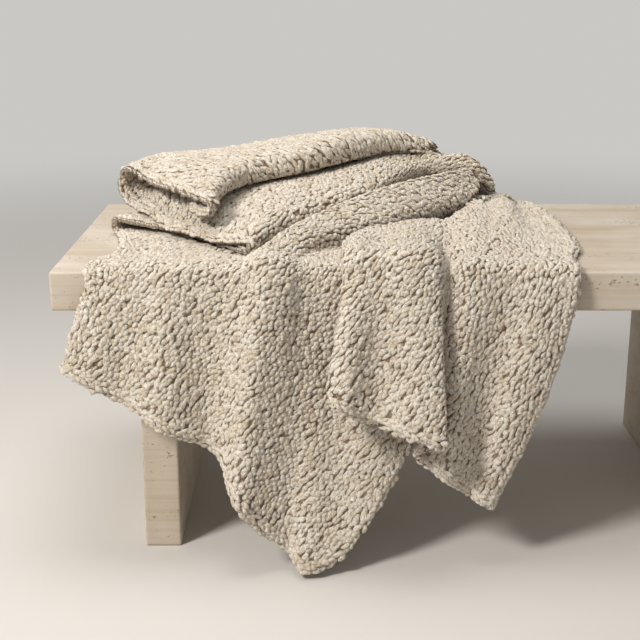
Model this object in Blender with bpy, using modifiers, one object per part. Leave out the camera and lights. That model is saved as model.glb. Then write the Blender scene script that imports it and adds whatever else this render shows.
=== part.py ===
"""Chunky knit blanket, folded and draped over a stone bench.

Metres, +Z up. The tables below are written in the drape's own frame: x along
the bench from the middle of the hanging cloth, y back from the bench's front
face, z up from the floor. ORIGIN_SHIFT then puts the origin at the middle of
the whole object's footprint, on the floor.

The blanket is one knitted sheet. Its ribs run up from the hem, over the bench
edge and back along the bench. The first seven, from the left selvedge, go on
into a stack that is folded back and forth twice; the others end flat on the
bench, tucked under the stack's front roll.
"""

import bpy
import numpy as np
from mathutils import Matrix

# ---- bench, drape frame -----------------------------------------------------
BENCH_LEFT = -0.405
BENCH_LENGTH = 1.200
BENCH_DEPTH = 0.533
BENCH_HEIGHT = 0.450
SLAB_THICK = 0.060
LEG_THICK = 0.056
LEG_INSET = 0.128
STONE_EDGE = 0.003
STONE_GAP = 0.0003

# ---- blanket ----------------------------------------------------------------
CLOTH_THICK = 0.008
REST_GAP = 0.0003
BED = BENCH_HEIGHT + CLOTH_THICK / 2 + REST_GAP
# How far the lowest corner stands out before the bench, with its thickness.
FRONT_REACH = 0.1136
ORIGIN_SHIFT = (-(BENCH_LEFT + BENCH_LENGTH / 2), -(BENCH_DEPTH - FRONT_REACH) / 2, 0.0)

# Where each rib turns over the bench edge, in a soft round bend: the drop of its
# edge place below the bench top, the share of its stand-out that is left at the
# corner, how much lower it runs there, the height of the low hump behind the
# corner, and how far back the hump is, and the place where the rib lies flat.
EDGE_DROP = 0.017
CORNER_SHARE = 0.66
CORNER_DROP = 0.0012
LIP_RISE = 0.0050
LIP_BACK = 0.012
FLAT_BACK = 0.042
FLAT_RISE = 0.0005
LIP_ASIDE = 0.002

# One row for each rib of the hanging cloth, from the left selvedge to the
# right one: x, and how far it stands out from the bench's front face, where
# it passes the bench edge, half-way down and at the hem. lift is how far the
# rib is raised over the bench top as it comes over the edge.
HANG_COLUMNS = ("edge_x", "edge_out", "lift", "mid_x", "mid_out", "hem_x", "hem_out", "hem_z")
HANG = {
    "left selvedge": (-0.347, 0.013, 0.0003, -0.369, 0.022, -0.387, 0.030, 0.304),
    "left ridge": (-0.314, 0.016, 0.001, -0.334, 0.030, -0.352, 0.040, 0.284),
    "left hollow": (-0.270, 0.012, 0.0005, -0.284, 0.022, -0.299, 0.030, 0.256),
    "second ridge": (-0.225, 0.017, 0.0015, -0.233, 0.043, -0.240, 0.061, 0.220),
    "second hollow": (-0.178, 0.013, 0.0012, -0.172, 0.018, -0.168, 0.028, 0.180),
    "great ridge flank": (-0.140, 0.014, 0.0012, -0.144, 0.026, -0.148, 0.044, 0.158),
    "great ridge foot": (-0.116, 0.020, 0.004, -0.127, 0.044, -0.139, 0.066, 0.132),
    "great ridge": (-0.084, 0.040, 0.022, -0.104, 0.068, -0.124, 0.097, 0.109),
    "great ridge side": (-0.056, 0.035, 0.016, -0.078, 0.058, -0.094, 0.088, 0.072),
    "great valley": (-0.028, 0.016, 0.002, -0.034, 0.036, -0.047, 0.076, 0.027),
    "lowest corner": (-0.008, 0.0125, 0.0006, -0.010, 0.030, -0.025, 0.110, 0.0115),
    "inner edge low": (0.014, 0.0125, 0.000, 0.020, 0.018, 0.018, 0.098, 0.019),
    "inner edge middle": (0.045, 0.0125, 0.0008, 0.060, 0.018, 0.079, 0.070, 0.083),
    "inner edge high": (0.094, 0.0130, 0.0010, 0.111, 0.017, 0.128, 0.028, 0.163),
    "hidden turn": (0.106, 0.0200, 0.0080, 0.124, 0.027, 0.138, 0.036, 0.192),
    "hidden return": (0.094, 0.0275, 0.0150, 0.109, 0.039, 0.119, 0.053, 0.214),
    "hidden run": (0.050, 0.0280, 0.0150, 0.046, 0.044, 0.040, 0.064, 0.254),
    "flap left fold": (0.036, 0.0355, 0.0225, 0.024, 0.061, 0.010, 0.082, 0.276),
    "flap left ridge": (0.050, 0.0435, 0.0300, 0.041, 0.078, 0.027, 0.101, 0.267),
    "flap hollow": (0.088, 0.0405, 0.0285, 0.086, 0.057, 0.080, 0.080, 0.239),
    "flap right ridge": (0.138, 0.0465, 0.0305, 0.142, 0.077, 0.143, 0.105, 0.221),
    "flap right edge": (0.171, 0.0360, 0.0210, 0.178, 0.072, 0.184, 0.100, 0.206),
    "flap right turn": (0.180, 0.0250, 0.0100, 0.174, 0.054, 0.178, 0.083, 0.210),
    "dark valley": (0.185, 0.0175, 0.0030, 0.160, 0.040, 0.153, 0.068, 0.184),
    "right panel fold": (0.191, 0.0145, 0.0000, 0.158, 0.026, 0.147, 0.053, 0.170),
    "right panel flank": (0.202, 0.0170, 0.0020, 0.181, 0.036, 0.167, 0.051, 0.154),
    "right panel ridge": (0.218, 0.024, 0.008, 0.206, 0.050, 0.190, 0.062, 0.139),
    "right panel side": (0.250, 0.019, 0.005, 0.230, 0.036, 0.210, 0.050, 0.122),
    "right panel hollow": (0.284, 0.0145, 0.002, 0.258, 0.025, 0.228, 0.041, 0.109),
    "last ridge": (0.330, 0.021, 0.003, 0.296, 0.046, 0.245, 0.060, 0.101),
    "right flank": (0.362, 0.020, 0.002, 0.323, 0.040, 0.256, 0.058, 0.096),
    "right selvedge": (0.385, 0.015, 0.0003, 0.342, 0.028, 0.264, 0.054, 0.093),
}

# Where each rib past the stack runs on the bench top: three places, each x, y
# and height over the bench top, from the front edge to the rib's far end. The
# great ridge goes on as the roll before the stack, and its side comes down to
# the bench as a wall, which the flap's layers run up to.
SHELF = {
    "great ridge": ((-0.056, 0.092, 0.040), (0.078, 0.218, 0.076), (0.272, 0.388, 0.090)),
    "great ridge side": ((-0.026, 0.080, 0.030), (0.096, 0.178, 0.048), (0.280, 0.364, 0.054)),
    "great valley": ((-0.010, 0.086, 0.0090), (0.052, 0.134, 0.0065), (0.120, 0.190, 0.0065)),
    "lowest corner": ((0.006, 0.080, 0.0060), (0.058, 0.110, 0.0060), (0.118, 0.160, 0.0060)),
    "inner edge low": ((0.024, 0.072, 0.0055), (0.062, 0.096, 0.0055), (0.116, 0.136, 0.0055)),
    "inner edge middle": ((0.054, 0.066, 0.0063), (0.078, 0.090, 0.0063), (0.112, 0.122, 0.0063)),
    "inner edge high": ((0.099, 0.066, 0.0063), (0.108, 0.090, 0.0063), (0.118, 0.116, 0.0063)),
    "hidden turn": ((0.111, 0.066, 0.0134), (0.120, 0.090, 0.0134), (0.130, 0.114, 0.0134)),
    "hidden return": ((0.099, 0.066, 0.0205), (0.108, 0.090, 0.0205), (0.118, 0.114, 0.0205)),
    "hidden run": ((0.052, 0.064, 0.0205), (0.058, 0.090, 0.0205), (0.068, 0.112, 0.0205)),
    "flap left fold": ((0.038, 0.062, 0.0280), (0.044, 0.090, 0.0280), (0.054, 0.112, 0.0280)),
    "flap left ridge": ((0.053, 0.066, 0.0355), (0.060, 0.100, 0.0355), (0.072, 0.136, 0.0355)),
    "flap hollow": ((0.092, 0.080, 0.0340), (0.100, 0.126, 0.0345), (0.110, 0.170, 0.0350)),
    "flap right ridge": ((0.144, 0.080, 0.0360), (0.152, 0.144, 0.0350), (0.162, 0.214, 0.0345)),
    "flap right edge": ((0.176, 0.080, 0.0250), (0.184, 0.160, 0.0275), (0.194, 0.240, 0.0300)),
    "flap right turn": ((0.187, 0.080, 0.0150), (0.198, 0.160, 0.0230), (0.208, 0.252, 0.0270)),
    "dark valley": ((0.194, 0.080, 0.0110), (0.208, 0.165, 0.0215), (0.220, 0.264, 0.0270)),
    "right panel fold": ((0.202, 0.080, 0.0110), (0.218, 0.170, 0.0220), (0.234, 0.284, 0.0310)),
    "right panel flank": ((0.206, 0.060, 0.0150), (0.226, 0.165, 0.0250), (0.254, 0.318, 0.0370)),
    "right panel ridge": ((0.232, 0.070, 0.0200), (0.254, 0.190, 0.0300), (0.280, 0.374, 0.0430)),
    "right panel side": ((0.264, 0.080, 0.0160), (0.286, 0.230, 0.0270), (0.302, 0.418, 0.0350)),
    "right panel hollow": ((0.302, 0.100, 0.0110), (0.322, 0.270, 0.0290), (0.336, 0.456, 0.0300)),
    "last ridge": ((0.352, 0.110, 0.0080), (0.362, 0.280, 0.0100), (0.366, 0.496, 0.0100)),
    "right flank": ((0.384, 0.110, 0.0070), (0.394, 0.270, 0.0070), (0.388, 0.498, 0.0070)),
    "right selvedge": ((0.408, 0.120, 0.0060), (0.418, 0.260, 0.0060), (0.404, 0.492, 0.0060)),
}

# The stack folds back and forth on the bench. Each fold runs from the left
# selvedge to the right end: x and y of the fold's outer line, and the heights
# over the bench top of the layers that it joins, at the first seven ribs.
FOLDS = {
    "first back fold": {
        "x": (-0.352, -0.312, -0.178, -0.020, 0.118, 0.220, 0.270),
        "y": (0.262, 0.320, 0.442, 0.486, 0.500, 0.500, 0.490),
        "low": (0.0055, 0.0055, 0.0055, 0.0055, 0.0080, 0.0100, 0.0100),
        "high": (0.027, 0.031, 0.039, 0.048, 0.062, 0.068, 0.040),
    },
    "first front fold": {
        "x": (-0.110, -0.065, -0.005, 0.084, 0.195, 0.282, 0.318),
        "y": (0.058, 0.120, 0.188, 0.272, 0.436, 0.430, 0.436),
        "low": (0.0165, 0.0240, 0.036, 0.052, 0.072, 0.076, 0.030),
        "high": (0.0315, 0.058, 0.068, 0.082, 0.099, 0.102, 0.062),
    },
    "second back fold": {
        "x": (-0.348, -0.312, -0.190, -0.040, 0.085, 0.163, 0.216),
        "y": (0.335, 0.372, 0.425, 0.468, 0.492, 0.495, 0.488),
        "low": (0.043, 0.054, 0.071, 0.086, 0.093, 0.093, 0.091),
        "high": (0.104, 0.118, 0.122, 0.141, 0.150, 0.140, 0.111),
    },
    "second front fold": {
        "x": (-0.172, -0.158, -0.125, -0.020, 0.060, 0.130, 0.200),
        "y": (0.118, 0.195, 0.262, 0.305, 0.364, 0.422, 0.452),
        "low": (0.061, 0.0775, 0.084, 0.100, 0.113, 0.120, 0.112),
        "high": (0.082, 0.105, 0.119, 0.139, 0.149, 0.145, 0.127),
    },
}
STACK_RIBS = 7
TURN_POINTS = 5
# Each layer between two folds: where its places are, as shares of the way from
# fold to fold, and how far each stands over a straight line. Some ribs have
# their own heights: the upper layer's selvedge lies in a small arch, and inside
# the last fold that layer wells up and closes the fold's open end.
LAYERS = {
    "lower": ((0.50,), {"all": (-0.004,), 0: (-0.0065,)}),
    "upper": (
        (0.28, 0.48, 0.64, 0.82),
        {
            "all": (0.010, 0.009, 0.004, 0.001),
            0: (-0.0137, -0.0107, -0.0144, -0.003),
            1: (-0.002, 0.004, 0.015, 0.028),
            2: (0.008, 0.008, 0.003, 0.001),
            5: (-0.002, -0.004, -0.003, 0.000),
            6: (0.003, 0.003, 0.001, 0.000),
        },
    ),
    "top": ((0.20, 0.55), {"all": (0.002, 0.004), 0: (-0.005, -0.004)}),
}
# How far back each place of the selvedge lies from a straight line, layer by
# layer: the upper layer's selvedge hangs over the lower one's and hides it.
SELVEDGE_BACK = {"lower": (0.048,), "upper": (-0.008, -0.018, -0.020, -0.012), "top": (0.0, 0.0)}
# How far the bed's ribs bow back and left between the bench edge and the first
# back fold, which keeps them clear of the roll. The left ones bow the other way.
BED_BOW = (-0.022, -0.010, 0.000, 0.006, 0.012, 0.018, 0.024)
# The cloth's end is tucked into the last fold: its length, the most that may
# be of the fold's depth, and its rise.
TUCK_LENGTH = 0.045
TUCK_SHARE = 0.25
TUCK_RISE = 0.003

# How finely each stretch between two table places is divided.
RIB_STEPS = 2
HANG_STEPS = 5
EDGE_STEPS = 2
SHELF_STEPS = 4
LAYER_STEPS = 3

# How much of the last stretch's turn a curve keeps at its ends. No handle is
# longer than HANDLE_LIMIT times the stretch on its other side, so that a long
# layer stays flat right up to a tight fold.
END_BEND = 0.6
HANDLE_LIMIT = 1.5


# ---- smooth curves ----------------------------------------------------------
def curve_through(points, steps):
    """A smooth curve through points (n, k, 3), each stretch cut into its steps."""
    points = np.asarray(points, float)
    gaps = np.maximum(np.linalg.norm(np.diff(points, axis=0), axis=-1, keepdims=True), 1e-6)
    slopes = np.diff(points, axis=0) / gaps
    tangents = np.empty_like(points)
    tangents[1:-1] = (slopes[:-1] * gaps[1:] + slopes[1:] * gaps[:-1]) / (gaps[1:] + gaps[:-1])
    tangents[0] = END_BEND * (slopes[0] - tangents[1]) + slopes[0]
    tangents[-1] = END_BEND * (slopes[-1] - tangents[-2]) + slopes[-1]
    rows = []
    for start in range(len(points) - 1):
        before = gaps[max(start - 1, 0)]
        after = gaps[min(start + 1, len(gaps) - 1)]
        leave = np.minimum(gaps[start], HANDLE_LIMIT * before) * tangents[start]
        arrive = np.minimum(gaps[start], HANDLE_LIMIT * after) * tangents[start + 1]
        for t in np.arange(steps[start]) / steps[start]:
            rows.append(
                (2 * t**3 - 3 * t**2 + 1) * points[start]
                + (t**3 - 2 * t**2 + t) * leave
                + (3 * t**2 - 2 * t**3) * points[start + 1]
                + (t**3 - t**2) * arrive
            )
    rows.append(points[-1])
    return np.array(rows)


# ---- the places that one rib runs through -----------------------------------
def hang_points(row):
    """Hem, half-way up, the bench edge, its corner, the hump and where it lies flat."""
    rib = dict(zip(HANG_COLUMNS, row))
    hem = np.array((rib["hem_x"], -rib["hem_out"], rib["hem_z"]))
    edge_z = BENCH_HEIGHT - EDGE_DROP + rib["lift"] / 2
    edge = np.array((rib["edge_x"], -rib["edge_out"], edge_z))
    middle = np.array((rib["mid_x"], -rib["mid_out"], (hem[2] + edge_z) / 2))
    top = BED + rib["lift"]
    corner = np.array((rib["edge_x"], -rib["edge_out"] * CORNER_SHARE, top - CORNER_DROP))
    lip = np.array((rib["edge_x"] + LIP_ASIDE / 2, LIP_BACK, top + LIP_RISE))
    flat = np.array((rib["edge_x"] + LIP_ASIDE, FLAT_BACK, top + FLAT_RISE))
    return [hem, middle, edge, corner, lip, flat]


def shelf_points(places):
    return [np.array((x, y, BENCH_HEIGHT + height)) for x, y, height in places]


def fold_point(fold, rib, layer=None):
    """A place on a fold's line, on its low or its high layer or half-way between."""
    table = FOLDS[fold]
    middle = (table["low"][rib] + table["high"][rib]) / 2
    height = table[layer][rib] if layer else middle
    return np.array((table["x"][rib], table["y"][rib], BENCH_HEIGHT + height))


def turn(fold, rib, towards, order):
    """A fold's half turn, from its order[0] layer to its order[1] layer."""
    outer = fold_point(fold, rib)
    inward = (towards - outer) * (1, 1, 0)
    inward /= np.linalg.norm(inward)
    half = (fold_point(fold, rib, order[1]) - fold_point(fold, rib, order[0])) / 2
    radius = abs(half[2])
    angles = np.linspace(0, np.pi, TURN_POINTS)
    return [outer + inward * radius * (1 - np.sin(a)) - half * np.cos(a) for a in angles]


def layer_points(layer, rib, start, end):
    """The places of one rib on a layer between two folds."""
    shares, heights = LAYERS[layer]
    rises = heights.get(rib, heights["all"])
    backs = SELVEDGE_BACK[layer] if rib == 0 else np.zeros(len(shares))
    asides = zip(shares, backs, rises)
    return [start + (end - start) * share + (0, back, rise) for share, back, rise in asides]


def stack_points(rib, lip):
    """The bed on the bench and the folded layers over it, for one rib of the stack."""
    back1, front1 = "first back fold", "first front fold"
    back2, front2 = "second back fold", "second front fold"
    turn1 = turn(back1, rib, fold_point(front1, rib), ("low", "high"))
    turn2 = turn(front1, rib, fold_point(back1, rib), ("low", "high"))
    turn3 = turn(back2, rib, fold_point(front2, rib), ("low", "high"))
    turn4 = turn(front2, rib, fold_point(back2, rib), ("high", "low"))
    bow = np.array((-1.0, 1.0, 0.0)) * BED_BOW[rib]
    bed = [lip + (turn1[0] - lip) * share + bow for share in (1 / 3, 2 / 3)]
    lower = layer_points("lower", rib, turn1[-1], turn2[0])
    upper = layer_points("upper", rib, turn2[-1], turn3[0])
    top = layer_points("top", rib, turn3[-1], turn4[0])
    depth = (fold_point(back2, rib) - fold_point(front2, rib)) * (1, 1, 0)
    share = min(TUCK_LENGTH / np.linalg.norm(depth), TUCK_SHARE)
    tuck = [turn4[-1] + depth * share + (0, 0, TUCK_RISE)]
    return bed + turn1[:1], turn1[1:] + lower + turn2 + upper + turn3 + top + turn4 + tuck


# ---- the sheet --------------------------------------------------------------
def blanket_grid():
    """The middle surface as grids of points, by rib and row: all ribs as far as
    the first back fold or their own end, and the folded stack after that."""
    front, stack = [], []
    for number, (name, row) in enumerate(HANG.items()):
        hang = hang_points(row)
        if number < STACK_RIBS:
            bed, folded = stack_points(number, hang[-1])
            front.append(hang + bed)
            stack.append(hang + bed + folded)
        else:
            front.append(hang + shelf_points(SHELF[name]))
    down = (HANG_STEPS,) * 2 + (EDGE_STEPS,) * 3 + (SHELF_STEPS,) * 3
    loop, layer = (1,) * (TURN_POINTS - 1), (LAYER_STEPS,)
    folded_down = (
        loop + layer * 2 + loop + layer * 5 + loop + layer * 3 + loop + layer
    )
    front = curve_through(np.array(front).transpose(1, 0, 2), down)
    stack = curve_through(np.array(stack).transpose(1, 0, 2), down + folded_down)
    front_rows = len(front)
    across = (RIB_STEPS,) * (len(HANG) - 1)
    front = curve_through(front.transpose(1, 0, 2), across)
    stack = curve_through(stack[front_rows:].transpose(1, 0, 2), across[: STACK_RIBS - 1])
    return front, stack


def sheet_mesh(name, front, stack):
    """One open mesh of both grids: the stack carries on from its ribs' last front row."""
    ribs, rows = front.shape[:2]
    stack_ribs, stack_rows = stack.shape[:2]
    points = [tuple(place) for column in front for place in column]
    points += [tuple(place) for column in stack for place in column]

    def at(rib, row):
        if row < rows:
            return rib * rows + row
        return ribs * rows + rib * stack_rows + row - rows

    faces = []
    for rib in range(ribs - 1):
        last = rows + stack_rows if rib < stack_ribs - 1 else rows
        for row in range(last - 1):
            left, right = at(rib, row), at(rib + 1, row)
            faces.append((left, right, at(rib + 1, row + 1), at(rib, row + 1)))
    mesh = bpy.data.meshes.new(name)
    mesh.from_pydata(points, [], faces)
    return mesh


# ---- building ---------------------------------------------------------------
def clear_scene():
    for old in list(bpy.data.objects):
        bpy.data.objects.remove(old, do_unlink=True)


def material(name, colour, roughness):
    made = bpy.data.materials.new(name)
    made.use_nodes = True
    shader = made.node_tree.nodes["Principled BSDF"]
    shader.inputs["Base Color"].default_value = (*colour, 1.0)
    shader.inputs["Roughness"].default_value = roughness
    shader.inputs["Metallic"].default_value = 0.0
    return made


def stone_block(collection, parent, name, low, high, finish):
    """A block of stone between two corners, with its edges eased."""
    bpy.ops.mesh.primitive_cube_add(size=1.0)
    block = bpy.context.active_object
    block.name = name
    for owner in list(block.users_collection):
        owner.objects.unlink(block)
    collection.objects.link(block)
    low, high = np.array(low), np.array(high)
    block.data.transform(Matrix.Diagonal((*(high - low), 1.0)))
    block.location = (low + high) / 2
    block.parent = parent
    block.data.materials.append(finish)
    eased = block.modifiers.new("eased edges", "BEVEL")
    eased.width = STONE_EDGE
    eased.segments = 2


def bench(collection, parent):
    """A thick slab on two upright slabs, all as deep as the seat."""
    stone = material("travertine", (0.74, 0.66, 0.55), 0.6)
    right = BENCH_LEFT + BENCH_LENGTH
    under = BENCH_HEIGHT - SLAB_THICK
    low, high = (BENCH_LEFT, 0, under), (right, BENCH_DEPTH, BENCH_HEIGHT)
    stone_block(collection, parent, "bench_top", low, high, stone)
    left_leg, right_leg = BENCH_LEFT + LEG_INSET, right - LEG_INSET - LEG_THICK
    for side, x in (("left", left_leg), ("right", right_leg)):
        low, high = (x, 0, 0), (x + LEG_THICK, BENCH_DEPTH, under - STONE_GAP)
        stone_block(collection, parent, "bench_leg_" + side, low, high, stone)


def blanket(collection, parent):
    """The knitted sheet: its middle surface, thickened to both sides."""
    sheet = bpy.data.objects.new("blanket", sheet_mesh("blanket", *blanket_grid()))
    sheet.data.materials.append(material("knitted wool", (0.72, 0.66, 0.56), 0.95))
    sheet.parent = parent
    collection.objects.link(sheet)
    thickness = sheet.modifiers.new("cloth thickness", "SOLIDIFY")
    thickness.thickness = CLOTH_THICK
    thickness.offset = 0.0


def main():
    clear_scene()
    collection = bpy.data.collections.new("blanket_over_bench")
    bpy.context.scene.collection.children.link(collection)
    origin = bpy.data.objects.new("origin", None)
    origin.location = ORIGIN_SHIFT
    collection.objects.link(origin)
    bench(collection, origin)
    blanket(collection, origin)


main()
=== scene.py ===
"""Looks of the chunky knit blanket over its stone bench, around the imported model.

The blanket is knitted here stitch by stitch. Its sheet is drawn again as the
model draws it, only finer, and is unrolled flat. A lattice of stitches is laid
on the flat sheet and carried back onto the drape, so that its rows run on
through every fold, as in a real knit.

Metres, +Z up. The tables are written in the drape's own frame: x along the
bench from the middle of the hanging cloth, y back from the bench's front face,
z up from the floor.
"""

from itertools import product

import bpy
import numpy as np
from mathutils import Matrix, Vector
from mathutils.bvhtree import BVHTree
from mathutils.kdtree import KDTree
from numpy.linalg import norm

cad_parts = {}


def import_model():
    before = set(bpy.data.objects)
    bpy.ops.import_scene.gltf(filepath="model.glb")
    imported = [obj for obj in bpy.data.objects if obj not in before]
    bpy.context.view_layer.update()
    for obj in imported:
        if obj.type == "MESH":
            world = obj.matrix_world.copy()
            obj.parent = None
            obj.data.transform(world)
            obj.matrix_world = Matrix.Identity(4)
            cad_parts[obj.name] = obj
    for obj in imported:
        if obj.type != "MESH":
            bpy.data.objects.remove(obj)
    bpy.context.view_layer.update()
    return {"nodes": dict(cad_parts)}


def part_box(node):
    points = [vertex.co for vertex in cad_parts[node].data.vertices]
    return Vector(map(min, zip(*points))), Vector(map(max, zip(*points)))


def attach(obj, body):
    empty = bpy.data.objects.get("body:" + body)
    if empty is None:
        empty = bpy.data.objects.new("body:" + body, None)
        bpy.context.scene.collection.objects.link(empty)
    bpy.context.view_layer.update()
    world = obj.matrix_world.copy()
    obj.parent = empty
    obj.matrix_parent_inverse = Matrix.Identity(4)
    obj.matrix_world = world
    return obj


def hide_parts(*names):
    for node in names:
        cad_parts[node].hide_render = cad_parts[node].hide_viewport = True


# ---- the bench and the drape, as the model has them ----
BENCH_NODES = ("bench_top", "bench_leg_left", "bench_leg_right")
BENCH_LEFT = -0.405
BENCH_HEIGHT = 0.450
CLOTH_THICK = 0.008
REST_GAP = 0.0003
BED = BENCH_HEIGHT + CLOTH_THICK / 2 + REST_GAP

# Each rib turns over the bench edge in a soft round bend: the drop of its edge place
# below the bench top; the share of its stand-out left at the corner, and its drop
# there; the rise of the low hump behind the corner, and how far back that is; the
# same where the rib lies flat; and how far aside it has moved by then.
EDGE_DROP = 0.017
CORNER_SHARE = 0.66
CORNER_DROP = 0.0012
LIP_RISE = 0.0050
LIP_BACK = 0.012
FLAT_RISE = 0.0005
FLAT_BACK = 0.042
LIP_ASIDE = 0.002

# One row for each rib of the hanging cloth, from the left selvedge to the right
# one. At the bench edge: x, how far it stands out from the bench's front face, and
# how far it is raised over the bench top. Half-way down: x and how far it stands
# out. At the hem: x, how far it stands out, and z.
HANG = {
    "left selvedge": (-0.347, 0.013, 0.0003, -0.369, 0.022, -0.387, 0.030, 0.304),
    "left ridge": (-0.314, 0.016, 0.001, -0.334, 0.030, -0.352, 0.040, 0.284),
    "left hollow": (-0.270, 0.012, 0.0005, -0.284, 0.022, -0.299, 0.030, 0.256),
    "second ridge": (-0.225, 0.017, 0.0015, -0.233, 0.043, -0.240, 0.061, 0.220),
    "second hollow": (-0.178, 0.013, 0.0012, -0.172, 0.018, -0.168, 0.028, 0.180),
    "great ridge flank": (-0.140, 0.014, 0.0012, -0.144, 0.026, -0.148, 0.044, 0.158),
    "great ridge foot": (-0.116, 0.020, 0.004, -0.127, 0.044, -0.139, 0.066, 0.132),
    "great ridge": (-0.084, 0.040, 0.022, -0.104, 0.068, -0.124, 0.097, 0.109),
    "great ridge side": (-0.056, 0.035, 0.016, -0.078, 0.058, -0.094, 0.088, 0.072),
    "great valley": (-0.028, 0.016, 0.002, -0.034, 0.036, -0.047, 0.076, 0.027),
    "lowest corner": (-0.008, 0.0125, 0.0006, -0.010, 0.030, -0.025, 0.110, 0.0115),
    "inner edge low": (0.014, 0.0125, 0.000, 0.020, 0.018, 0.018, 0.098, 0.019),
    "inner edge middle": (0.045, 0.0125, 0.0008, 0.060, 0.018, 0.079, 0.070, 0.083),
    "inner edge high": (0.094, 0.013, 0.001, 0.111, 0.017, 0.128, 0.028, 0.163),
    "hidden turn": (0.106, 0.020, 0.008, 0.124, 0.027, 0.138, 0.036, 0.192),
    "hidden return": (0.094, 0.0275, 0.015, 0.109, 0.039, 0.119, 0.053, 0.214),
    "hidden run": (0.050, 0.028, 0.015, 0.046, 0.044, 0.040, 0.064, 0.254),
    "flap left fold": (0.036, 0.0355, 0.0225, 0.024, 0.061, 0.010, 0.082, 0.276),
    "flap left ridge": (0.050, 0.0435, 0.030, 0.041, 0.078, 0.027, 0.101, 0.267),
    "flap hollow": (0.088, 0.0405, 0.0285, 0.086, 0.057, 0.080, 0.080, 0.239),
    "flap right ridge": (0.138, 0.0465, 0.0305, 0.142, 0.077, 0.143, 0.105, 0.221),
    "flap right edge": (0.171, 0.036, 0.021, 0.178, 0.072, 0.184, 0.100, 0.206),
    "flap right turn": (0.180, 0.025, 0.010, 0.174, 0.054, 0.178, 0.083, 0.210),
    "dark valley": (0.185, 0.0175, 0.003, 0.160, 0.040, 0.153, 0.068, 0.184),
    "right panel fold": (0.191, 0.0145, 0.000, 0.158, 0.026, 0.147, 0.053, 0.170),
    "right panel flank": (0.202, 0.017, 0.002, 0.181, 0.036, 0.167, 0.051, 0.154),
    "right panel ridge": (0.218, 0.024, 0.008, 0.206, 0.050, 0.190, 0.062, 0.139),
    "right panel side": (0.250, 0.019, 0.005, 0.230, 0.036, 0.210, 0.050, 0.122),
    "right panel hollow": (0.284, 0.0145, 0.002, 0.258, 0.025, 0.228, 0.041, 0.109),
    "last ridge": (0.330, 0.021, 0.003, 0.296, 0.046, 0.245, 0.060, 0.101),
    "right flank": (0.362, 0.020, 0.002, 0.323, 0.040, 0.256, 0.058, 0.096),
    "right selvedge": (0.385, 0.015, 0.0003, 0.342, 0.028, 0.264, 0.054, 0.093),
}
# The last rib whose far end is only hidden, and isn't an edge of the real blanket.
LAST_HIDDEN_END = "right panel ridge"

# Where each rib past the stack runs on the bench top: three places, each x, y
# and height over the bench top, from the front edge to the rib's far end. The
# great ridge goes on as the roll before the stack, and its side comes down to
# the bench as a wall, which the flap's layers run up to.
SHELF = {
    "great ridge": ((-0.056, 0.092, 0.040), (0.078, 0.218, 0.076), (0.272, 0.388, 0.090)),
    "great ridge side": ((-0.026, 0.080, 0.030), (0.096, 0.178, 0.048), (0.280, 0.364, 0.054)),
    "great valley": ((-0.010, 0.086, 0.009), (0.052, 0.134, 0.0065), (0.120, 0.190, 0.0065)),
    "lowest corner": ((0.006, 0.080, 0.006), (0.058, 0.110, 0.006), (0.118, 0.160, 0.006)),
    "inner edge low": ((0.024, 0.072, 0.0055), (0.062, 0.096, 0.0055), (0.116, 0.136, 0.0055)),
    "inner edge middle": ((0.054, 0.066, 0.0063), (0.078, 0.090, 0.0063), (0.112, 0.122, 0.0063)),
    "inner edge high": ((0.099, 0.066, 0.0063), (0.108, 0.090, 0.0063), (0.118, 0.116, 0.0063)),
    "hidden turn": ((0.111, 0.066, 0.0134), (0.120, 0.090, 0.0134), (0.130, 0.114, 0.0134)),
    "hidden return": ((0.099, 0.066, 0.0205), (0.108, 0.090, 0.0205), (0.118, 0.114, 0.0205)),
    "hidden run": ((0.052, 0.064, 0.0205), (0.058, 0.090, 0.0205), (0.068, 0.112, 0.0205)),
    "flap left fold": ((0.038, 0.062, 0.028), (0.044, 0.090, 0.028), (0.054, 0.112, 0.028)),
    "flap left ridge": ((0.053, 0.066, 0.0355), (0.060, 0.100, 0.0355), (0.072, 0.136, 0.0355)),
    "flap hollow": ((0.092, 0.080, 0.034), (0.100, 0.126, 0.0345), (0.110, 0.170, 0.035)),
    "flap right ridge": ((0.144, 0.080, 0.036), (0.152, 0.144, 0.035), (0.162, 0.214, 0.0345)),
    "flap right edge": ((0.176, 0.080, 0.025), (0.184, 0.160, 0.0275), (0.194, 0.240, 0.030)),
    "flap right turn": ((0.187, 0.080, 0.015), (0.198, 0.160, 0.023), (0.208, 0.252, 0.027)),
    "dark valley": ((0.194, 0.080, 0.011), (0.208, 0.165, 0.0215), (0.220, 0.264, 0.027)),
    "right panel fold": ((0.202, 0.080, 0.011), (0.218, 0.170, 0.022), (0.234, 0.284, 0.031)),
    "right panel flank": ((0.206, 0.060, 0.015), (0.226, 0.165, 0.025), (0.254, 0.318, 0.037)),
    "right panel ridge": ((0.232, 0.070, 0.020), (0.254, 0.190, 0.030), (0.280, 0.374, 0.043)),
    "right panel side": ((0.264, 0.080, 0.016), (0.286, 0.230, 0.027), (0.302, 0.418, 0.035)),
    "right panel hollow": ((0.302, 0.100, 0.011), (0.322, 0.270, 0.029), (0.336, 0.456, 0.030)),
    "last ridge": ((0.352, 0.110, 0.008), (0.362, 0.280, 0.010), (0.366, 0.496, 0.010)),
    "right flank": ((0.384, 0.110, 0.007), (0.394, 0.270, 0.007), (0.388, 0.498, 0.007)),
    "right selvedge": ((0.408, 0.120, 0.006), (0.418, 0.260, 0.006), (0.404, 0.492, 0.006)),
}

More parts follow.
